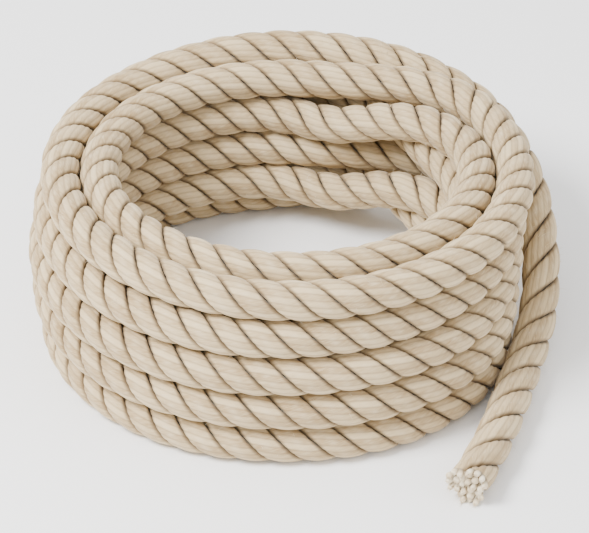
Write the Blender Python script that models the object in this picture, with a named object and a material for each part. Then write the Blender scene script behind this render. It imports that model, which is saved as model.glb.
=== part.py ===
"""Coiled three-strand rope with a frayed cut end.

Two solids: the wound coil, ridged by its nine turns, and the loose end, which leaves the top turn at the
back, slides down the outside of the coil and runs out over the surface to its cut.

Metres, +Z up. The origin is the middle of the whole object's footprint, on the surface that it rests on.
An azimuth is in degrees, seen from above: 0 is the back (+Y) and 90 the right (+X), as the rope is wound.
"""
from collections import namedtuple
from math import cos, radians, sin, sqrt

import bmesh
import bpy
import numpy as np

# Driving dimensions
ROPE_DIAMETER = 0.020
ROPE_RADIUS = ROPE_DIAMETER / 2
AXIS_X, AXIS_Y = -0.0042, 0.0130        # the coil's axis, which centres the footprint on the origin

# The stack leans a little to the left and to the front, and its lowest turn is drawn in.
# In metres, but inner_drop in diameters: how far the inner lane has settled.
Level = namedtuple("Level", "outer_radius shift_x shift_y inner_drop")
LEVELS = {
    5: Level(0.1155, 0.0, 0.0055, 0.0),
    4: Level(0.1160, -0.0040, 0.0025, 0.02),
    3: Level(0.1170, -0.0060, 0.0, 0.05),
    2: Level(0.1155, -0.0060, -0.0025, 0.0),
    1: Level(0.1120, -0.0055, -0.0060, 0.0),
}
LEVEL_SPACING = 0.985 * ROPE_DIAMETER
TILT = 0.018                            # by this share, the stack is taller on its left than in its middle
INNER_TIP = 0.16                        # the inner lane: higher at the front, lower at the back, in diameters
# The lowest turns swell at the front right, by these metres, between these azimuths
SWELL = {1: 0.0045, 2: 0.0050, 3: 0.0030}
SWELL_RISE, SWELL_FALL = (98.0, 132.0), (138.0, 188.0)

# The turns in the order they are wound. Each one steps to the next at the back.
TURNS = (("outer", 1), ("outer", 2), ("inner", 2), ("inner", 3), ("outer", 3),
         ("outer", 4), ("inner", 4), ("inner", 5), ("outer", 5))
STEP_START, STEP_END = 8.0, 58.0        # azimuths
# The turns that climb, and how far they stand off the wall there, in diameters
BULGES = {1: 0.60, 3: 0.52, 5: 0.48, 7: 0.54}
BULGE_MARGIN = 20.0
# The top turn lifts towards its end, which goes over the others, by this in diameters, from this azimuth
LIFT, LIFT_START = 0.158, 315.0

# The loose end down the wall: how far it is off the top turn, and how much lower, in diameters
Fall = namedtuple("Fall", "azimuth out lost")
FALL = [Fall(*row) for row in (
    (8, 0.0, -0.158), (16, 0.08, -0.12), (24, 0.28, 0.01), (31.5, 0.52, 0.20), (39.5, 0.80, 0.49),
    (48, 0.95, 0.81), (57, 0.91, 1.14), (66, 0.83, 1.50),
)]
# and out over the surface: metres from the coil's axis, and the height of its middle in diameters
Run = namedtuple("Run", "x y height")
RUN = [Run(*row) for row in (
    (0.1270, 0.0415, 2.50), (0.1299, 0.0250, 2.03), (0.1310, 0.0085, 1.54), (0.1301, -0.0075, 1.10),
    (0.1272, -0.0240, 0.76), (0.1233, -0.0400, 0.57), (0.1186, -0.0570, 0.50), (0.1137, -0.0755, 0.50),
    (0.1082, -0.0950, 0.50), (0.1020, -0.1150, 0.50), (0.0950, -0.1340, 0.50), (0.0873, -0.1525, 0.50),
)]

# The solids
STATION_STEP = 7.5                      # degrees between the wall's sections, and where its turns cross
CROSSING_STEP = 3
CROSSING_START, CROSSING_END = 348, 80
COIL_RADIUS = 0.0098                    # a little under the rope's, so that the two solids stay apart
LOOSE_RADIUS = 0.0097
SEAM_GAP = 0.0010                       # between the top turn's end and the loose end's start
TROUGH_RADIUS = 0.0123                  # the room that the wall leaves around the loose end
LOOSE_STEP = 0.011
FLAT = 0.006                            # half the width of the flat that the lowest turn rests on
RIDGE = (-0.75, -0.3, 0.3, 0.75)        # heights across one turn's ridge, in rope radii
FADING = 5                              # the outside's highest places, above the middle of its fourth turn
GROOVE, GROOVE_SLOPE = 0.8, 1.5         # where the groove beside a turn starts, in rope radii, and its slope
CROWN = (0.04, 0.12, 0.25, 0.38, 0.46, 0.54, 0.62, 0.75, 0.88, 0.96)    # places across the top of the wall
ROPE_COLOUR = (0.80, 0.72, 0.58, 1.0)


def smooth(t):
    t = min(1.0, max(0.0, t))
    return t * t * (3 - 2 * t)


def between(value, start, end):
    """0 up to start, 1 from end on, and a smooth rise in between."""
    return smooth((value - start) / (end - start))


def ring(lane, level, azimuth):
    """Distance from the axis, and height, of the middle of a turn that keeps to its lane."""
    size = LEVELS[level]
    a = radians(azimuth)
    distance = size.outer_radius + size.shift_x * sin(a) + size.shift_y * cos(a)
    distance += SWELL.get(level, 0.0) * between(azimuth, *SWELL_RISE) * (1 - between(azimuth, *SWELL_FALL))
    height = (level - 1) * LEVEL_SPACING
    if lane == "inner":
        distance -= ROPE_DIAMETER
        height -= (size.inner_drop + INNER_TIP * cos(a)) * ROPE_DIAMETER
    return distance, ROPE_RADIUS + height * (1 - TILT * sin(a))


def bulge(turn, azimuth):
    """How far a climb pushes a turn off the wall: outward in the outer lane, inward in the inner one."""
    if turn not in BULGES:
        return 0.0
    t = (azimuth - STEP_START + BULGE_MARGIN) / (STEP_END - STEP_START + 2 * BULGE_MARGIN)
    side = 1 if TURNS[turn][0] == "outer" else -1
    return side * BULGES[turn] * ROPE_DIAMETER * smooth(t / 0.4) * smooth((1 - t) / 0.4)


def turn_middle(turn, azimuth):
    """Distance and height of the middle of one turn, with its step from the turn before."""
    distance, height = ring(*TURNS[turn], azimuth)
    if turn > 0 and azimuth < STEP_END:
        s = between(azimuth, STEP_START, STEP_END)
        before = ring(*TURNS[turn - 1], azimuth)
        distance = before[0] + s * (distance - before[0])
        height = before[1] + s * (height - before[1])
    if turn == len(TURNS) - 1:
        height += LIFT * ROPE_DIAMETER * between(azimuth, LIFT_START, STEP_START + 360)
    return distance + bulge(turn, azimuth) + bulge(turn + 1, azimuth - 360), height


def place(distance, height, azimuth):
    a = radians(azimuth)
    return AXIS_X + distance * sin(a), AXIS_Y + distance * cos(a), height


def loose_middle(azimuth):
    """Distance and height of the middle of the loose end while it lies on the wall."""
    distance, height = ring("outer", 5, azimuth)
    angles = [row.azimuth for row in FALL]
    out = np.interp(azimuth, angles, [row.out for row in FALL])
    lost = np.interp(azimuth, angles, [row.lost for row in FALL])
    return distance + out * ROPE_DIAMETER, height - lost * ROPE_DIAMETER


def ridge(off):
    """A turn's reach at a distance off its middle, both in radii: round, then straight into the groove."""
    return sqrt(1 - min(off, GROOVE) ** 2) - GROOVE_SLOPE * max(0.0, off - GROOVE)


def side_reach(middles, height, direction):
    """How far the turns reach at a height: outward with direction 1, inward with -1."""
    reach = []
    for distance, middle in middles:
        reach.append(direction * distance + COIL_RADIUS * ridge(abs(height - middle) / COIL_RADIUS))
    return direction * max(reach)


def crown_height(middles, distance):
    """Height of the top of the wall at a distance from the axis."""
    heights = []
    for middle_distance, middle in middles:
        heights.append(middle + COIL_RADIUS * ridge(abs(distance - middle_distance) / COIL_RADIUS))
    return max(heights)


def clear_of(point, middle):
    """The point itself, or moved straight out of the room around the loose end."""
    x, z = point[0] - middle[0], point[1] - middle[1]
    scale = max(1.0, TROUGH_RADIUS / sqrt(x * x + z * z))
    return middle[0] + scale * x, middle[1] + scale * z


def ridge_heights(middles):
    """Heights across the ridge of each turn of a lane, up to the middle of the top one."""
    heights = [middle + ROPE_RADIUS * r for middle in middles for r in RIDGE]
    return heights[:-2] + middles[-1:]


def outline(azimuth):
    """The wall's section at one azimuth, as distances and heights: flat, outside, top and inside."""
    middles = [ring("outer", 1, azimuth)]       # fills under the first climb
    first = 0 if azimuth > STEP_END else 1
    middles += [turn_middle(turn, azimuth) for turn in range(first, len(TURNS))]
    outer_lane = [ring("outer", level, azimuth)[1] for level in (1, 2, 3, 4, 5)]
    inner_lane = [ring("inner", level, azimuth)[1] for level in (2, 3, 4, 5)]
    outer_heights = ridge_heights(outer_lane)
    inner_heights = ridge_heights(outer_lane[:1] + inner_lane)
    # Where the loose end has left, the outside of the wall is one turn lower, and it grows back.
    grown = 0.2 + 0.8 * between(azimuth, STEP_START, STEP_END)
    fourth = outer_lane[3]
    fading = [fourth + grown * (h - fourth) for h in outer_heights[-FADING:]]
    outside = [(side_reach(middles, h, 1), h) for h in outer_heights[:-FADING] + fading]
    inside = [(side_reach(middles, h, -1), h) for h in inner_heights]
    outer, inner = outside[-1][0], inside[-1][0]
    crown = []
    for part in CROWN:
        distance = outer + part * (inner - outer)
        crown.append((distance, crown_height(middles, distance)))
    foot = middles[0][0]
    points = [(foot - FLAT, 0.0), (foot + FLAT, 0.0)] + outside + crown + inside[::-1]
    if azimuth <= FALL[-1].azimuth:
        points = [clear_of(point, loose_middle(azimuth)) for point in points]
    return points


def build_coil(material):
    azimuths = list(np.arange(STEP_START, CROSSING_END, CROSSING_STEP))
    azimuths += list(np.arange(CROSSING_END, CROSSING_START, STATION_STEP))
    azimuths += list(np.arange(CROSSING_START, STEP_START + 360, CROSSING_STEP))
    azimuths.append(STEP_START + 360 - np.degrees(SEAM_GAP / LEVELS[5].outer_radius))
    mesh = bmesh.new()
    stations = []
    for azimuth in azimuths:
        stations.append([mesh.verts.new(place(*point, azimuth)) for point in outline(azimuth)])
    for here, there in zip(stations, stations[1:] + stations[:1]):
        for i in range(len(here)):
            j = (i + 1) % len(here)
            mesh.faces.new((here[i], there[i], there[j], here[j]))
    bmesh.ops.triangulate(mesh, faces=mesh.faces[:])
    bmesh.ops.recalc_face_normals(mesh, faces=mesh.faces[:])
    for face in mesh.faces:
        face.smooth = True
    data = bpy.data.meshes.new("coil")
    mesh.to_mesh(data)
    mesh.free()
    data.materials.append(material)
    coil = bpy.data.objects.new("coil", data)
    bpy.context.collection.objects.link(coil)


def loose_route():
    """The loose end's own points, from the seam to its cut."""
    points = []
    for row in FALL:
        points.append(place(*loose_middle(row.azimuth), row.azimuth))
    for row in RUN:
        points.append((AXIS_X + row.x, AXIS_Y + row.y, row.height * ROPE_DIAMETER))
    return np.array(points)


def smooth_line(points, start, step):
    """Points about a step apart on a Catmull-Rom curve through the given ones, from a start along it."""
    ends = np.vstack([2 * points[0] - points[1], points, 2 * points[-1] - points[-2]])
    t = np.linspace(0, 1, 24, endpoint=False)[:, None]
    curve = []
    for a, b, c, d in zip(ends, ends[1:], ends[2:], ends[3:]):
        cubic = 2 * a - 5 * b + 4 * c - d + t * (3 * b - a - 3 * c + d)
        curve.append(b + 0.5 * t * (c - a + t * cubic))
    curve = np.vstack(curve + [points[-1:]])
    along = np.concatenate([[0], np.cumsum(np.linalg.norm(np.diff(curve, axis=0), axis=1))])
    wanted = np.linspace(start, along[-1], round(along[-1] / step) + 1)
    return np.column_stack([np.interp(wanted, along, curve[:, k]) for k in range(3)])


def build_loose_end(material):
    line = smooth_line(loose_route(), SEAM_GAP, LOOSE_STEP)
    line[:, 2] = np.maximum(line[:, 2], LOOSE_RADIUS)
    data = bpy.data.curves.new("loose_end", "CURVE")
    data.dimensions = "3D"
    data.bevel_depth = LOOSE_RADIUS
    data.bevel_resolution = 4
    data.use_fill_caps = True
    spline = data.splines.new("POLY")
    spline.points.add(len(line) - 1)
    for point, (x, y, z) in zip(spline.points, line):
        point.co = (x, y, z, 1)
    spline.use_smooth = True
    data.materials.append(material)
    loose_end = bpy.data.objects.new("loose_end", data)
    bpy.context.collection.objects.link(loose_end)


def rope_material(name):
    material = bpy.data.materials.new(name)
    material.use_nodes = True
    shader = material.node_tree.nodes["Principled BSDF"]
    shader.inputs["Base Color"].default_value = ROPE_COLOUR
    shader.inputs["Roughness"].default_value = 0.9
    shader.inputs["Metallic"].default_value = 0.0
    return material


for old in list(bpy.data.objects):
    bpy.data.objects.remove(old, do_unlink=True)
build_coil(rope_material("coil_rope"))
build_loose_end(rope_material("loose_end_rope"))
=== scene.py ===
from collections import namedtuple
from math import cos, pi, radians, sin

import bpy
import numpy as np
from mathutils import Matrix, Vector


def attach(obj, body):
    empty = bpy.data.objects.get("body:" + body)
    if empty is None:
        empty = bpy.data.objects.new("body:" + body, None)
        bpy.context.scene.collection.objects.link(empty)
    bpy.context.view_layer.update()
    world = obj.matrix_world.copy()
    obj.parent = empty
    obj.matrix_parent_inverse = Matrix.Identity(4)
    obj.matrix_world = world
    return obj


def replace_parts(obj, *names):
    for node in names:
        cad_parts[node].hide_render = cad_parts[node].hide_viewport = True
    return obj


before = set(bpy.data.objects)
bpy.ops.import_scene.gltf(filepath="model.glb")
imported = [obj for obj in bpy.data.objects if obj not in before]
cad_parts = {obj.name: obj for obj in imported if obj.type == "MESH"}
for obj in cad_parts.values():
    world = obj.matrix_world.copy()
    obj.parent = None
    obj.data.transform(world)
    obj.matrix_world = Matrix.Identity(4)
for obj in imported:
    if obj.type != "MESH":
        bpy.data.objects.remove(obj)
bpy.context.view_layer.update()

# The rope and its route, as the CAD has them. Metres, with +Z up. An azimuth is in degrees from the back (+Y)
# to the right (+X).
DIAMETER = 0.020
RADIUS = DIAMETER / 2
AXIS_X, AXIS_Y = -0.0042, 0.0130        # the coil's axis
# The levels of the stack. In metres, but inner_drop in diameters: how far the inner lane has settled.
Level = namedtuple("Level", "outer_radius shift_x shift_y inner_drop")
LEVELS = {
    5: Level(0.1155, 0.0, 0.0055, 0.0),
    4: Level(0.1160, -0.0040, 0.0025, 0.02),
    3: Level(0.1170, -0.0060, 0.0, 0.05),
    2: Level(0.1155, -0.0060, -0.0025, 0.0),
    1: Level(0.1120, -0.0055, -0.0060, 0.0),
}
LEVEL_SPACING = 0.985 * DIAMETER
TILT = 0.018                            # by this share, the stack is taller on its left than in its middle
INNER_TIP = 0.16                        # the inner lane: higher at the front, lower at the back, in diameters
# The lowest turns swell at the front right, by these metres, between these azimuths
SWELL = {1: 0.0045, 2: 0.0050, 3: 0.0030}
SWELL_RISE, SWELL_FALL = (98.0, 132.0), (138.0, 188.0)
# The turns in the order they are wound. Each one steps to the next at the back, between two azimuths.
TURNS = (("outer", 1), ("outer", 2), ("inner", 2), ("inner", 3), ("outer", 3),
         ("outer", 4), ("inner", 4), ("inner", 5), ("outer", 5))
STEP_START, STEP_END = 8.0, 58.0
# The turns that climb, and how far they stand off the wall there, in diameters
BULGES = {1: 0.60, 3: 0.52, 5: 0.48, 7: 0.54}
BULGE_MARGIN = 20.0                     # degrees by which a bulge is longer than a step, at either end
BULGE_RAMP = 0.4                        # share of a bulge in which it rises, and in which it falls
# The top turn lifts towards its end, which goes over the others, by this in diameters, from this azimuth
LIFT, LIFT_START = 0.158, 315.0
# The loose end down the wall: azimuth, how far it is off the top turn, and how much lower, in diameters
FALL = (
    (8, 0.0, -0.158), (16, 0.08, -0.12), (24, 0.28, 0.01), (31.5, 0.52, 0.20), (39.5, 0.80, 0.49),
    (48, 0.95, 0.81), (57, 0.91, 1.14), (66, 0.83, 1.50),
)
# and out over the surface: metres from the coil's axis, and the height of its middle in diameters
RUN = (
    (0.1270, 0.0415, 2.50), (0.1299, 0.0250, 2.03), (0.1310, 0.0085, 1.54), (0.1301, -0.0075, 1.10),
    (0.1272, -0.0240, 0.76), (0.1233, -0.0400, 0.57), (0.1186, -0.0570, 0.50), (0.1137, -0.0755, 0.50),
    (0.1082, -0.0950, 0.50), (0.1020, -0.1150, 0.50), (0.0950, -0.1340, 0.50), (0.0873, -0.1525, 0.50),
)
AZIMUTH_STEP = 0.5                      # between the points of the coil's line
SPAN_POINTS = 40                        # points of the loose end's line for each point of its route
FRAME_STEP = 0.0009                     # between the places where the directions along the rope are kept
CORD_POINTS = 120                       # of the loose end's path, for a line that build_loose_end works out and doesn't use

# The lay of the rope
STRANDS = 3
LAY, OPEN_LAY = 0.0470, 0.0650          # length of one full twist: in the coil, and at the loose end's cut
LAY_STEP = 0.0005                       # between the places where the twists are kept
PHASE = 0.272                           # turn of the strands where the loose end starts, in full twists
# The strands don't turn quite evenly. For the turns that show: metres along the rope, and by how many full
# twists the strands are ahead of an even lay there.
LEADS = ((0.25, -0.05), (0.95, 0.05), (1.90, 0.05), (2.50, -0.15), (2.90, -0.10), (3.60, -0.15), (3.75, 0.0),
         (4.90, 0.0), (5.20, 0.15), (5.65, 0.20))

# A strand's outline across the rope, in rope radii
CREST = 0.80                            # curvature radius of its outer side
SHOULDER = 6.0                          # how sharply its sides turn into the grooves: higher is sharper
STRAND_MIDDLE = 0.50                    # distance of its middle from the rope's
GROOVE_GAP = 0.012                      # half the gap between two strands
OUTLINE_POINTS = 721
FAR = 50.0                              # further than any outline reaches
EXPOSED = 0.75                          # from this distance out, a strand's surface shows
CROWDING = 1.9                          # its points and yarns are this much closer together there
# Along the rope its thickness varies by this share, in waves up to this long
LUMPS, LUMP_LENGTH = 0.018, 0.11
WAVE_PARTS = (1.0, 0.57, 0.31)          # the waves' sizes and lengths, as shares of the longest one's
WAVES_HEIGHT = 1.5                      # about how high they come together

# The yarns of a strand. One that runs along the rope goes round its strand twice in a full twist.
YARNS = 8                               # around each strand, and one more in its core
YARN_TURNS = 2
POINTS_PER_YARN = 3                     # the first is in the seam between two yarns
AROUND = YARNS * POINTS_PER_YARN
ROW_TWIST = 1 / (YARN_TURNS * AROUND)   # from row to row, a yarn moves by one point around its strand
SEAM_DEPTH, OPEN_SEAM_DEPTH = 0.034, 0.13   # in rope radii: along the rope, and at a cut
OPENING, OPENING_POWER = 0.012, 1.5     # the seams open over this length before a cut, more and more steeply
TUCK = 0.004                            # each piece of a strand goes one row into the next, this much smaller

# The cut ends. A place is metres before the cut, and negative past it.
YARN_RADIUS, CORE_RADIUS = 0.158, 0.19  # in rope radii
YARN_THICKNESS = (0.94, 1.05)           # the least and the most, as shares of that radius
# The yarns' distances from their strand's centre, as shares of its outline's: in the strand, and at the tips
YARN_PLACE, TIP_PLACE = 0.56, 0.74
CORE_PLACE = 0.03
YARN_START = 0.012                      # where the separate yarns start
TIPS = (-0.0034, -0.0012)               # the furthest and the nearest tip
SPREAD_END = -0.001                     # the yarns spread from where the skin dives up to here
SPREAD_POWER = 1.5
FLARE = 0.13                            # how much they spread away from the rope's middle, as a share
SPLAY = 0.016                           # and how unevenly, in rope radii
YARN_ROWS, TIP_ROWS, YARN_SIDES = 10, 5, 12
TIP_FLAT = 0.02                         # a tip ends in a face of about this share of the yarn's width
SKIN_DIVE, SKIN_END = 0.0032, 0.0004    # the strand's own surface sinks from here to here
SKIN_SINK, SKIN_LAST = 0.30, 0.02       # the share that it gets smaller by, and the size of its last row
CUT_STEP = 0.0005                       # between the rows where it sinks

# Loose fibres
FIBRE_RADIUS = 0.00009
FIBRE_ROWS, FIBRE_SIDES = 4, 3
FIBRE_WIDTHS = (1.05, 0.30)             # shares of that radius at the root and the tip
FIBRE_CURL = 0.35                       # sideways drift at the tip, as a share of the length
COIL_FIBRES, LOOSE_FIBRES = 170, 170    # on each half strand of the coil, and on each strand of the loose end
CUT_FIBRES = 12                         # at each tip
SURFACE_LENGTHS, CUT_LENGTHS = (0.0012, 0.0032), (0.0010, 0.0030)
FIBRE_ARC = 0.22                        # share of the outline, on either side of the crest, with fibres
# Their directions have parts along the rope, away from it and at random
LEAN, RISE, SCATTER = (0.6, 1.4), (0.25, 0.7), 0.25
ROOT_DEPTH = 0.0002
LOOK_AHEAD = 0.0006                     # the direction along a strand is taken over this length
# A tip's fibres start around it within about this share of its radius, and leave it at random by this much
CUT_ROOTS, CUT_SCATTER = 0.3, 0.40

# The camera
CAMERA_RISE = 34.4                      # degrees
CAMERA_DISTANCE = 1.8557
LOOK_AT = (AXIS_X + 0.00335, AXIS_Y, 0.0335)
LENS, SENSOR_WIDTH = 220.0, 36.0        # millimetres
CLIP_END = 50.0

# Finish, floor and light
LIGHT_HEMP = (0.58, 0.445, 0.255, 1)
DARK_HEMP = (0.31, 0.205, 0.095, 1)
# painted shade: the colour that darkens the seams between yarns and the grooves between strands
PAINTED_GROOVE_SHADE = (0.16, 0.105, 0.052, 1)
PALE_WEAR = (0.68, 0.56, 0.37, 1)
SHEEN = (1.0, 0.93, 0.80, 1)
CUT_HEMP = (0.82, 0.73, 0.56, 1)
CUT_PATCHES = (0.62, 0.49, 0.31, 1)
CUT_GRAIN = (0.47, 0.36, 0.22, 1)
# painted shade between the cut yarns, away from their tips
PAINTED_CUT_SHADE = (0.12, 0.08, 0.04, 1)
BUMP_DEPTH = 0.0003
FLOOR_GREY = (0.93, 0.93, 0.93, 1)
FLOOR_REACH = 8.0                       # from its middle to its sides
SKY_COLOUR, SKY_STRENGTH = (1, 1, 1, 1), 1.6
LIGHT_AIM = (0, 0, 0.04)

rng = np.random.default_rng(7)


# ---------------------------------------------------------------- camera

camera_data = bpy.data.cameras.new("camera")
camera_data.lens = LENS
camera_data.sensor_width = SENSOR_WIDTH
camera_data.sensor_fit = "HORIZONTAL"
camera_data.clip_end = CLIP_END
camera = bpy.data.objects.new("camera", camera_data)
bpy.context.collection.objects.link(camera)
camera.location = (
    LOOK_AT[0],
    LOOK_AT[1] - CAMERA_DISTANCE * cos(radians(CAMERA_RISE)),
    LOOK_AT[2] + CAMERA_DISTANCE * sin(radians(CAMERA_RISE)),
)
camera.rotation_euler = (radians(90 - CAMERA_RISE), 0, 0)
bpy.context.scene.camera = camera


# ---------------------------------------------------------------- the rope's centreline

def smooth(t):
    t = min(1.0, max(0.0, t))
    return t * t * (3 - 2 * t)


def between(value, start, end):
    """0 up to start, 1 from end on, and a smooth rise in between."""
    return smooth((value - start) / (end - start))


def ring(lane, level, azimuth):
    """Distance from the axis, and height, of the middle of a turn that keeps to its lane."""
    size = LEVELS[level]
    a = radians(azimuth)
    distance = size.outer_radius + size.shift_x * sin(a) + size.shift_y * cos(a)
    distance += SWELL.get(level, 0.0) * between(azimuth, *SWELL_RISE) * (1 - between(azimuth, *SWELL_FALL))
    height = (level - 1) * LEVEL_SPACING
    if lane == "inner":
        distance -= DIAMETER
        height -= (size.inner_drop + INNER_TIP * cos(a)) * DIAMETER
    return distance, RADIUS + height * (1 - TILT * sin(a))


def bulge(turn, azimuth):
    """How far a climb pushes a turn off the wall: outward in the outer lane, inward in the inner one."""
    if turn not in BULGES:
        return 0.0
    t = (azimuth - STEP_START + BULGE_MARGIN) / (STEP_END - STEP_START + 2 * BULGE_MARGIN)
    side = 1 if TURNS[turn][0] == "outer" else -1
    return side * BULGES[turn] * DIAMETER * smooth(t / BULGE_RAMP) * smooth((1 - t) / BULGE_RAMP)


def turn_middle(turn, azimuth):
    """Distance and height of the middle of one turn, with its step from the turn before."""
    distance, height = ring(*TURNS[turn], azimuth)
    if turn > 0 and azimuth < STEP_END:
        s = between(azimuth, STEP_START, STEP_END)
        before = ring(*TURNS[turn - 1], azimuth)
        distance = before[0] + s * (distance - before[0])
        height = before[1] + s * (height - before[1])
    if turn == len(TURNS) - 1:
        height += LIFT * DIAMETER * between(azimuth, LIFT_START, STEP_START + 360)
    return distance + bulge(turn, azimuth) + bulge(turn + 1, azimuth - 360), height


def place(distance, height, azimuth):
    """A point in space from its distance to the coil's axis."""
    a = radians(azimuth)
    return AXIS_X + distance * sin(a), AXIS_Y + distance * cos(a), height


def coil_line():
    """The middle of the wound rope, turn by turn."""
    points = []
    for turn in range(len(TURNS)):
        for azimuth in np.arange(STEP_END if turn == 0 else STEP_START, STEP_START + 360, AZIMUTH_STEP):
            points.append(place(*turn_middle(turn, azimuth), azimuth))
    return np.array(points)


def loose_route():
    """The loose end's route: down the wall, then out over the surface."""
    points = []
    for azimuth, out, lost in FALL:
        distance, height = ring("outer", 5, azimuth)
        points.append(place(distance + out * DIAMETER, height - lost * DIAMETER, azimuth))
    for x, y, height in RUN:
        points.append((AXIS_X + x, AXIS_Y + y, height * DIAMETER))
    return np.array(points)


def catmull_rom(points, before):
    """A smooth curve through points. The line comes to the first of them from the point before."""
    ends = np.vstack([before, points, 2 * points[-1] - points[-2]])
    t = np.linspace(0, 1, SPAN_POINTS, endpoint=False)[:, None]
    curve = []
    for a, b, c, d in zip(ends, ends[1:], ends[2:], ends[3:]):
        cubic = 2 * a - 5 * b + 4 * c - d + t * (3 * b - a - 3 * c + d)
        curve.append(b + 0.5 * t * (c - a + t * cubic))
    return np.vstack(curve + [points[-1:]])


def lengths(line):
    """The length of a line up to each of its points."""
    return np.concatenate([[0], np.cumsum(np.linalg.norm(np.diff(line, axis=0), axis=1))])


def at(line, along, wanted):
    """Points of a line at wanted places along it."""
    return np.column_stack([np.interp(wanted, along, line[:, k]) for k in range(3)])


coil = coil_line()
top_turn_end = np.array(place(*turn_middle(len(TURNS) - 1, 360.0), 360.0))
whole = np.vstack([coil, catmull_rom(loose_route(), top_turn_end)])
whole[:, 2] = np.maximum(whole[:, 2], RADIUS)
whole_along = lengths(whole)
LOOSE_START = whole_along[len(coil)]
ROPE_LENGTH = whole_along[-1]


class Frames:
    """Directions along the rope that don't twist: T along it, N and B across it."""

    def __init__(self, line, along):
        self.s = np.linspace(0, along[-1], int(along[-1] / FRAME_STEP) + 1)
        soft = at(line, along, self.s)
        for _ in range(3):
            soft[1:-1] = 0.25 * soft[:-2] + 0.5 * soft[1:-1] + 0.25 * soft[2:]
        self.p = soft
        t = np.gradient(soft, axis=0)
        self.t = t / np.linalg.norm(t, axis=1)[:, None]
        n = np.empty_like(soft)
        start = np.array([0.0, 0.0, 1.0])
        n[0] = start - self.t[0] * start.dot(self.t[0])
        n[0] /= np.linalg.norm(n[0])
        for i in range(len(soft) - 1):
            moved = n[i] - self.t[i + 1] * n[i].dot(self.t[i + 1])
            n[i + 1] = moved / np.linalg.norm(moved)
        self.n = n

    def __call__(self, wanted):
        """The rope's middle, T, N and B at places along the rope. Past its ends it goes straight on."""
        inside = np.clip(wanted, 0, self.s[-1])
        p, t, n = (np.column_stack([np.interp(inside, self.s, a[:, k]) for k in range(3)])
                   for a in (self.p, self.t, self.n))
        t /= np.linalg.norm(t, axis=1)[:, None]
        p += t * (wanted - inside)[:, None]
        n -= t * (n * t).sum(1)[:, None]
        n /= np.linalg.norm(n, axis=1)[:, None]
        return p, t, n, np.cross(t, n)


frames = Frames(whole, whole_along)


# ---------------------------------------------------------------- the lay

def lay_table():
    """Places along the rope, and the strands' full twists from the loose end's start to each of them."""
    places = np.linspace(0, ROPE_LENGTH, int(ROPE_LENGTH / LAY_STEP) + 1)
    opened = np.clip((places - LOOSE_START) / (ROPE_LENGTH - LOOSE_START), 0, 1)
    lay = LAY + (OPEN_LAY - LAY) * opened * opened * (3 - 2 * opened)
    steps = np.diff(places) * 0.5 * (1 / lay[:-1] + 1 / lay[1:])
    even = np.concatenate([[0], np.cumsum(steps)])
    lead_places, leads = zip(*LEADS, (LOOSE_START, 0.0))
    return places, even - np.interp(LOOSE_START, places, even) + np.interp(places, lead_places, leads)


LAY_PLACES, LAY_TWISTS = lay_table()


def twists(along):
    """Full twists of the strands from the loose end's start to a place along the rope."""
    return np.interp(along, LAY_PLACES, LAY_TWISTS)


def place_of(twist):
    """The place along the rope where the strands have this many full twists."""
    return np.interp(twist, LAY_TWISTS, LAY_PLACES)


def rows(first, last):
    """Places along a strand for its rows of points: closer at a cut, and one row further where it goes on."""
    numbers = np.arange(np.ceil(twists(first) / ROW_TWIST), np.floor(twists(last) / ROW_TWIST) + 1)
    along = place_of(numbers * ROW_TWIST)
    more_before, more_after = [], []
    if first < OPENING:
        dive = SKIN_DIVE
        along = np.concatenate([np.arange(first, dive, CUT_STEP), along[along > dive + CUT_STEP / 2]])
    else:
        more_before = [place_of(twists(first) - ROW_TWIST)]
    if last > ROPE_LENGTH - OPENING:
        dive = ROPE_LENGTH - SKIN_DIVE
        along = np.concatenate([along[along < dive - CUT_STEP / 2], np.arange(last, dive, -CUT_STEP)[::-1]])
    else:
        more_after = [place_of(twists(last) + ROW_TWIST)]
    along = along[(along > first + CUT_STEP / 2) & (along < last - CUT_STEP / 2)]
    return np.concatenate([more_before, [first], along, [last], more_after])


def strand_outline():
    """A strand's outline across the rope, in rope radii, from its hidden side around to it again."""
    theta = np.linspace(-pi, pi, OUTLINE_POINTS)
    direction = np.column_stack([np.cos(theta), np.sin(theta)])
    middle = np.array([STRAND_MIDDLE, 0.0])
    to_crest = middle - np.array([1 - CREST, 0.0])
    b = direction @ to_crest
    limits = [-b + np.sqrt(b * b - to_crest @ to_crest + CREST ** 2)]
    wedge = pi / STRANDS
    for side in (1, -1):
        inward = np.array([sin(wedge), -side * cos(wedge)])
        room = middle @ inward - GROOVE_GAP
        limits.append(room / np.maximum(-(direction @ inward), room / FAR))
    radius = sum(limit ** -SHOULDER for limit in limits) ** (-1 / SHOULDER)
    return middle + direction * radius[:, None]


OUTLINE = strand_outline()
CENTRE = OUTLINE[:-1].mean(axis=0)
STEPS = np.linalg.norm(np.diff(OUTLINE, axis=0), axis=1)
CLOSENESS = np.where(np.linalg.norm(OUTLINE[:-1], axis=1) > EXPOSED, CROWDING, 1.0)
EVEN = np.concatenate([[0], np.cumsum(STEPS)]) / STEPS.sum()
CROWDED = np.concatenate([[0], np.cumsum(STEPS * CLOSENESS)]) / (STEPS * CLOSENESS).sum()


def on_outline(share, measure):
    """Places on a strand's outline, by their share of the way around: 0 is its hidden side, 0.5 its crest."""
    return np.stack([np.interp(share % 1.0, measure, OUTLINE[:, k]) for k in (0, 1)], axis=-1)


def across(along, points, strand):
    """Places in space of points across the rope, in rope radii, that turn with a strand along it."""
    p, t, n, b = frames(along)
    turn = 2 * pi * (twists(along) + PHASE + strand / STRANDS)
    c, s = np.cos(turn)[:, None], np.sin(turn)[:, None]
    x, y = points[..., 0], points[..., 1]
    sideways = RADIUS * (x * c - y * s)
    up = RADIUS * (x * s + y * c)
    return p[:, None] + sideways[..., None] * n[:, None] + up[..., None] * b[:, None]


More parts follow.
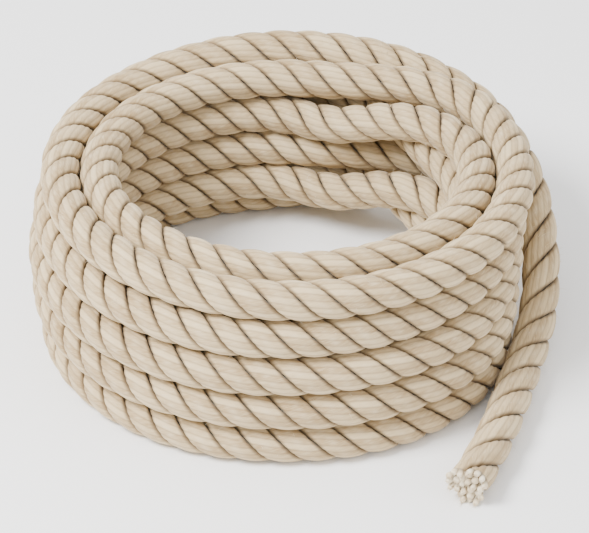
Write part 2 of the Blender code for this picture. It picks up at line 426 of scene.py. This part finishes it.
def waves(along, seed, length):
    """A slow, irregular wave between about -1 and 1 along the rope."""
    wave_rng = np.random.default_rng(seed)
    total = np.zeros(len(along))
    for part in WAVE_PARTS:
        total += part * np.sin(2 * pi * along / (length * part) + wave_rng.uniform(0, 2 * pi))
    return total / WAVES_HEIGHT


def strand_grid(strand, along):
    """A strand's surface: a row of points around it for each place along it, which turns with its yarns."""
    point = np.arange(AROUND)
    share = point[None] / AROUND - YARN_TURNS * twists(along)[:, None]
    outward = on_outline(share, CROWDED) - CENTRE
    from_cut = np.minimum(along, ROPE_LENGTH - along)
    opened = np.clip((OPENING - from_cut) / OPENING, 0, 1) ** OPENING_POWER
    depth = SEAM_DEPTH + (OPEN_SEAM_DEPTH - SEAM_DEPTH) * opened
    sunk = np.clip((SKIN_DIVE - from_cut) / (SKIN_DIVE - SKIN_END), 0, 1)
    closed = np.isclose(sunk, 1)
    size = np.where(closed, SKIN_LAST, 1 - SKIN_SINK * sunk ** 2)
    size *= 1 + LUMPS * waves(along, strand, LUMP_LENGTH)
    size[[0, -1]] *= np.where(closed[[0, -1]], 1, 1 - TUCK)
    in_seam = point % POINTS_PER_YARN == 0
    reach = size[:, None] * (1 - in_seam[None] * depth[:, None] / np.linalg.norm(outward, axis=2))
    return across(along, CENTRE + outward * reach[..., None], strand)


# ---------------------------------------------------------------- meshes

def grid_faces(row_count, columns):
    """Quads of a tube: rows of points along it, columns around it."""
    i, j = np.meshgrid(np.arange(row_count - 1), np.arange(columns), indexing="ij")
    k = (j + 1) % columns
    corners = [i * columns + j, i * columns + k, (i + 1) * columns + k, (i + 1) * columns + j]
    return np.stack(corners, axis=-1).reshape(-1, 4)


def grid_uv(along, columns):
    """The quads' corners: u once around the tube, v along it."""
    i, j = np.meshgrid(np.arange(len(along) - 1), np.arange(columns), indexing="ij")
    us = np.stack([j, j + 1, j + 1, j], axis=-1) / columns
    vs = np.stack([along[i], along[i], along[i + 1], along[i + 1]], axis=-1)
    return np.stack([us, vs], axis=-1).reshape(-1, 2)


class Parts:
    """Closed tubes, put together into one mesh. A tube's kind is the number of its material."""

    def __init__(self):
        self.verts, self.loops, self.sizes, self.uv, self.kinds, self.rounded = [], [], [], [], [], []
        self.count = 0

    def add_faces(self, faces, uv, kind, rounded):
        self.loops.append(faces.ravel() + self.count)
        self.sizes.append(np.full(len(faces), faces.shape[1]))
        self.uv.append(uv)
        self.kinds.append(np.full(len(faces), kind))
        self.rounded.append(np.full(len(faces), rounded))

    def add_tube(self, grid, along, kind, first_u=0.0):
        """A tube from its rows of points, with a face at each end. along is v of each row."""
        count, columns = grid.shape[:2]
        uv = grid_uv(along, columns) + (first_u, 0)
        self.add_faces(grid_faces(count, columns), uv, kind, rounded=True)
        ends = np.array([np.arange(columns)[::-1], np.arange(columns) + (count - 1) * columns])
        end_u = first_u + ends.ravel() % columns / columns
        end_v = np.repeat(along[[0, -1]], columns)
        self.add_faces(ends, np.column_stack([end_u, end_v]), kind, rounded=False)
        verts = grid.reshape(-1, 3).copy()
        verts[:, 2] = np.maximum(verts[:, 2], 0.0)
        self.verts.append(verts)
        self.count += len(verts)

    def build(self, name, materials):
        """The tubes as one object, which rides the root body."""
        verts, loops, sizes = np.vstack(self.verts), np.concatenate(self.loops), np.concatenate(self.sizes)
        data = bpy.data.meshes.new(name)
        data.vertices.add(len(verts))
        data.vertices.foreach_set("co", verts.astype(np.float32).ravel())
        data.loops.add(len(loops))
        data.loops.foreach_set("vertex_index", loops.astype(np.int32))
        data.polygons.add(len(sizes))
        starts = np.concatenate([[0], np.cumsum(sizes)[:-1]])
        data.polygons.foreach_set("loop_start", starts.astype(np.int32))
        data.polygons.foreach_set("use_smooth", np.concatenate(self.rounded))
        layer = data.uv_layers.new(name="UVMap")
        layer.data.foreach_set("uv", np.vstack(self.uv).astype(np.float32).ravel())
        for material in materials:
            data.materials.append(material)
        data.polygons.foreach_set("material_index", np.concatenate(self.kinds).astype(np.int32))
        data.update(calc_edges=True)
        data.validate()
        obj = bpy.data.objects.new(name, data)
        bpy.context.collection.objects.link(obj)
        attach(obj, "root")
        return obj


def unit(vectors):
    return vectors / np.linalg.norm(vectors, axis=-1, keepdims=True)


def tube(path, radii, sides):
    """The rows of points of a thin tube around a path."""
    t = unit(np.gradient(path, axis=0))
    upright = abs(t[0, 2]) > 0.9
    side = unit(np.cross(t, (1.0, 0.0, 0.0) if upright else (0.0, 0.0, 1.0)))
    up = np.cross(t, side)
    angle = np.linspace(0, 2 * pi, sides, endpoint=False)[None, :, None]
    around = side[:, None] * np.cos(angle) + up[:, None] * np.sin(angle)
    return path[:, None] + around * radii[:, None, None]


# ---------------------------------------------------------------- strands, cut yarns and loose fibres

def add_strand(parts, strand, first, last):
    """A strand's surface between two places along the rope."""
    along = rows(first, last)
    parts.add_tube(strand_grid(strand, along), twists(along) * LAY, kind=0, first_u=strand)


def add_fibres(parts, starts, directions, sizes):
    """Fibres that leave their starts in the given directions and curl a little."""
    t = np.linspace(0, 1, FIBRE_ROWS)
    radii = FIBRE_RADIUS * np.interp(t, (0, 1), FIBRE_WIDTHS)
    for start, direction, size in zip(starts, directions, sizes):
        curl = rng.normal(0, 1, 3)
        path = start + size * (direction * t[:, None] + FIBRE_CURL * curl * t[:, None] ** 2)
        path[:, 2] = np.maximum(path[:, 2], 2 * FIBRE_RADIUS)
        parts.add_tube(tube(path, radii, FIBRE_SIDES), np.zeros(FIBRE_ROWS), kind=1)


def add_surface_fibres(parts, strand, first, last, count):
    """Fibres that stand off the outer side of a strand."""
    along = rng.uniform(first, last, count)
    spot = on_outline(0.5 + rng.uniform(-FIBRE_ARC, FIBRE_ARC, count), EVEN)[:, None]
    here = across(along, spot, strand)[:, 0]
    outward = unit(here - frames(along)[0])
    forward = unit(across(along + LOOK_AHEAD, spot, strand)[:, 0] - here)
    lean = rng.choice([-1.0, 1.0], (count, 1)) * rng.uniform(*LEAN, (count, 1))
    rise = rng.uniform(*RISE, (count, 1))
    directions = unit(outward * rise + forward * lean + rng.normal(0, SCATTER, (count, 3)))
    add_fibres(parts, here - outward * ROOT_DEPTH, directions, rng.uniform(*SURFACE_LENGTHS, count))


def yarn_path(strand, from_start, before_cut, number, share, tip_share, splay):
    """The middle of a yarn at places before a cut. number is its place around its strand."""
    along = before_cut if from_start else ROPE_LENGTH - before_cut
    spread = np.clip((SKIN_DIVE - before_cut) / (SKIN_DIVE - SPREAD_END), 0, 1)[:, None]
    around = number / YARNS - YARN_TURNS * twists(np.clip(along, 0, ROPE_LENGTH))
    outline = on_outline(around, CROWDED) * (1 - spread) + on_outline(around, EVEN) * spread
    points = CENTRE + (outline - CENTRE) * (share + (tip_share - share) * spread)
    points = points * (1 + FLARE * spread ** SPREAD_POWER) + splay * spread
    return across(along, points[:, None], strand)[:, 0]


def add_cut(parts, strand, from_start):
    """The yarns of a strand at a cut, with rounded tips and the fibres that fray out of them."""
    yarns = [(k + 0.5, YARN_PLACE, TIP_PLACE, YARN_RADIUS) for k in range(YARNS)]
    yarns.append((0.5, CORE_PLACE, CORE_PLACE, CORE_RADIUS))
    for number, share, tip_share, yarn_radius in yarns:
        thick = yarn_radius * RADIUS * rng.uniform(*YARN_THICKNESS)
        tip = rng.uniform(*TIPS)
        splay = rng.normal(0, SPLAY, 2)
        shaft = np.linspace(YARN_START, tip + thick, YARN_ROWS)
        rounding = np.linspace(0, pi / 2, TIP_ROWS + 1)[1:]
        before_cut = np.concatenate([shaft, tip + thick * (1 - np.sin(rounding))])
        radii = thick * np.concatenate([np.ones(YARN_ROWS), np.cos(rounding) + TIP_FLAT])
        path = yarn_path(strand, from_start, before_cut, number, share, tip_share, splay)
        path[:, 2] = np.maximum(path[:, 2], radii)
        parts.add_tube(tube(path, radii, YARN_SIDES), before_cut - tip, kind=1)
        starts = path[-3] + rng.normal(0, CUT_ROOTS * thick, (CUT_FIBRES, 3))
        directions = unit(unit(path[-1] - path[-4]) + rng.normal(0, CUT_SCATTER, (CUT_FIBRES, 3)))
        add_fibres(parts, starts, directions, rng.uniform(*CUT_LENGTHS, CUT_FIBRES))


# ---------------------------------------------------------------- materials

def new_material(name):
    """A material, its node tree and its shader."""
    material = bpy.data.materials.new(name)
    material.use_nodes = True
    return material, material.node_tree, material.node_tree.nodes["Principled BSDF"]


def node(tree, kind, inputs=(), **settings):
    """A node with its settings, and its inputs set to values or linked to sockets."""
    made = tree.nodes.new(kind)
    for name, value in settings.items():
        setattr(made, name, value)
    for key, value in dict(inputs).items():
        if isinstance(value, bpy.types.NodeSocket):
            tree.links.new(value, made.inputs[key])
        else:
            made.inputs[key].default_value = value
    return made


def u_and_v(tree):
    uv = node(tree, "ShaderNodeUVMap", uv_map="UVMap").outputs[0]
    split = node(tree, "ShaderNodeSeparateXYZ", {0: uv})
    return split.outputs[0], split.outputs[1]


def maths(tree, operation, *values):
    return node(tree, "ShaderNodeMath", dict(enumerate(values)), operation=operation).outputs[0]


def weighted(tree, *parts):
    """The sum of (value, weight) pairs."""
    products = [maths(tree, "MULTIPLY", value, weight) for value, weight in parts]
    total = products[0]
    for product in products[1:]:
        total = maths(tree, "ADD", total, product)
    return total


def off_middle(tree, value):
    """How far the fraction of a value is from 0.5."""
    return maths(tree, "ABSOLUTE", maths(tree, "SUBTRACT", maths(tree, "FRACT", value), 0.5))


def remap(tree, value, low, high, to_low=0.0, to_high=1.0):
    """to_low where the value is low, to_high where it is high, and a smooth change in between."""
    inputs = {0: value, 1: low, 2: high, 3: to_low, 4: to_high}
    return node(tree, "ShaderNodeMapRange", inputs, interpolation_type="SMOOTHSTEP").outputs[0]


def mix_colour(tree, share, first, second):
    inputs = {0: share, 6: first, 7: second}
    return node(tree, "ShaderNodeMix", inputs, data_type="RGBA").outputs[2]


def noise(tree, where, scale, detail, roughness=0.5):
    inputs = {"Vector": where, "Scale": scale, "Detail": detail, "Roughness": roughness}
    return node(tree, "ShaderNodeTexNoise", inputs).outputs[0]


def relief(tree, shader, height, strength):
    """Bump for what is finer than the mesh."""
    bump = node(tree, "ShaderNodeBump", {"Height": height, "Strength": strength, "Distance": BUMP_DEPTH})
    tree.links.new(bump.outputs[0], shader.inputs["Normal"])


def rope_material():
    """The strands: yarns that run along the rope, their fibres, worn crests, and shade painted darker into
    the seams between yarns and the grooves between strands.
    """
    material, tree, shader = new_material("rope_hemp")
    u, v = u_and_v(tree)
    # u goes around the strand and turns with its yarns. around doesn't turn: 0.5 is always the crest.
    yarn = maths(tree, "MULTIPLY", u, float(YARNS))
    around = maths(tree, "SUBTRACT", u, maths(tree, "MULTIPLY", v, YARN_TURNS / LAY))
    # These are 1 between two yarns, in the groove between two strands, and on the strand's crest.
    seam = remap(tree, off_middle(tree, yarn), 0.275, 0.5)
    groove = remap(tree, off_middle(tree, around), 0.24, 0.36)
    crest = remap(tree, off_middle(tree, around), 0.20, 0.0)

    def stretched(across_yarn, along_rope, slant, detail):
        """Noise that is drawn out along the yarns."""
        x = weighted(tree, (yarn, across_yarn), (v, slant))
        y = maths(tree, "MULTIPLY", v, along_rope)
        where = node(tree, "ShaderNodeCombineXYZ", {0: x, 1: y}).outputs[0]
        return noise(tree, where, scale=1.0, detail=detail, roughness=0.6)

    # Unevenness, from the finest to the widest
    fibres = stretched(across_yarn=7.0, along_rope=130.0, slant=700.0, detail=3.0)
    streaks = stretched(across_yarn=2.2, along_rope=60.0, slant=160.0, detail=3.0)
    patches = stretched(across_yarn=0.02, along_rope=16.0, slant=0.0, detail=2.0)
    number = maths(tree, "FLOOR", yarn)
    tint = node(tree, "ShaderNodeTexWhiteNoise", {"W": number}, noise_dimensions="1D").outputs[0]

    shade = weighted(tree, (tint, 0.34), (streaks, 0.60), (patches, 0.60))
    wear = maths(tree, "MULTIPLY", crest, remap(tree, streaks, 0.42, 0.66, 0.05, 0.5))
    colour = mix_colour(tree, remap(tree, shade, 0.50, 1.10), LIGHT_HEMP, DARK_HEMP)
    colour = mix_colour(tree, remap(tree, fibres, 0.42, 0.72, 0.0, 0.35), colour, PALE_WEAR)
    colour = mix_colour(tree, wear, colour, PALE_WEAR)
    # Painted shade: darker in the seams between yarns, and more so in the grooves between strands
    colour = mix_colour(tree, maths(tree, "MULTIPLY", seam, 0.34), colour, PAINTED_GROOVE_SHADE)
    colour = mix_colour(tree, maths(tree, "MULTIPLY", groove, 0.85), colour, PAINTED_GROOVE_SHADE)
    tree.links.new(colour, shader.inputs["Base Color"])

    relief(tree, shader, weighted(tree, (fibres, 0.7), (streaks, 0.3)), strength=0.7)
    tree.links.new(remap(tree, fibres, 0.3, 0.7, 0.78, 0.94), shader.inputs["Roughness"])
    shader.inputs["Specular IOR Level"].default_value = 0.25
    shader.inputs["Sheen Weight"].default_value = 0.22
    shader.inputs["Sheen Roughness"].default_value = 0.45
    shader.inputs["Sheen Tint"].default_value = SHEEN
    return material


def fibre_material():
    """The cut yarns and the loose fibres: paler, in uneven patches, and darker away from the tips, where
    shade is painted between the yarns.
    """
    material, tree, shader = new_material("rope_hemp_cut")
    where = node(tree, "ShaderNodeTexCoord").outputs["Object"]
    grain = noise(tree, where, scale=900.0, detail=2.0)
    patches = noise(tree, where, scale=260.0, detail=1.0)
    from_tip = u_and_v(tree)[1]
    colour = mix_colour(tree, remap(tree, patches, 0.35, 0.68, 0.0, 0.75), CUT_HEMP, CUT_PATCHES)
    colour = mix_colour(tree, remap(tree, grain, 0.40, 0.70, 0.0, 0.4), colour, CUT_GRAIN)
    # Painted shade: the cut yarns darken away from their tips, where they lie between each other
    colour = mix_colour(tree, remap(tree, from_tip, 0.0012, 0.0044, 0.0, 0.70), colour, PAINTED_CUT_SHADE)
    tree.links.new(colour, shader.inputs["Base Color"])
    relief(tree, shader, grain, strength=0.5)
    shader.inputs["Roughness"].default_value = 0.9
    shader.inputs["Specular IOR Level"].default_value = 0.2
    return material


rope_materials = rope_material(), fibre_material()


# ---------------------------------------------------------------- the rope

def build_coil_strand(strand):
    """One strand of the coil, as two pieces."""
    middle_row = round(float(twists(LOOSE_START / 2)) / ROW_TWIST)
    half = float(place_of(middle_row * ROW_TWIST))
    for name, first, last in (("lower", SKIN_END, half), ("upper", half, LOOSE_START)):
        parts = Parts()
        add_strand(parts, strand, first, last)
        if name == "lower":
            add_cut(parts, strand, from_start=True)
        add_surface_fibres(parts, strand, first + SKIN_DIVE, last, COIL_FIBRES)
        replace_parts(parts.build(f"coil_strand_{strand + 1}_{name}", rope_materials), "coil")


def build_loose_end():
    parts = Parts()
    for strand in range(STRANDS):
        add_strand(parts, strand, LOOSE_START, ROPE_LENGTH - SKIN_END)
        add_cut(parts, strand, from_start=False)
        add_surface_fibres(parts, strand, LOOSE_START, ROPE_LENGTH - SKIN_DIVE, LOOSE_FIBRES)
    obj = parts.build("loose_end_rope", rope_materials)
    line = frames(np.linspace(LOOSE_START, ROPE_LENGTH, CORD_POINTS))[0]
    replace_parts(obj, "loose_end")


build_loose_end()
for strand_number in range(STRANDS):
    build_coil_strand(strand_number)


# ---------------------------------------------------------------- floor and light

def build_floor():
    data = bpy.data.meshes.new("floor")
    corners = [(x * FLOOR_REACH, y * FLOOR_REACH, 0) for x, y in ((-1, -1), (1, -1), (1, 1), (-1, 1))]
    data.from_pydata(corners, [], [(0, 1, 2, 3)])
    floor = bpy.data.objects.new("floor", data)
    bpy.context.collection.objects.link(floor)
    material, _, shader = new_material("floor_pale")
    shader.inputs["Base Color"].default_value = FLOOR_GREY
    shader.inputs["Roughness"].default_value = 0.8
    shader.inputs["Specular IOR Level"].default_value = 0.1
    data.materials.append(material)


def area_light(name, position, size, power):
    data = bpy.data.lights.new(name, "AREA")
    data.shape = "DISK"
    data.size = size
    data.energy = power
    light = bpy.data.objects.new(name, data)
    bpy.context.collection.objects.link(light)
    light.location = position
    light.rotation_euler = (Vector(LIGHT_AIM) - Vector(position)).to_track_quat("-Z", "Y").to_euler()


def build_light():
    world = bpy.data.worlds.new("studio")
    world.use_nodes = True
    sky = world.node_tree.nodes["Background"]
    sky.inputs["Color"].default_value = SKY_COLOUR
    sky.inputs["Strength"].default_value = SKY_STRENGTH
    bpy.context.scene.world = world
    area_light("key", position=(-0.9, -0.5, 1.3), size=0.7, power=60)
    area_light("fill", position=(1.4, -0.8, 1.0), size=1.4, power=8)


build_floor()
build_light()
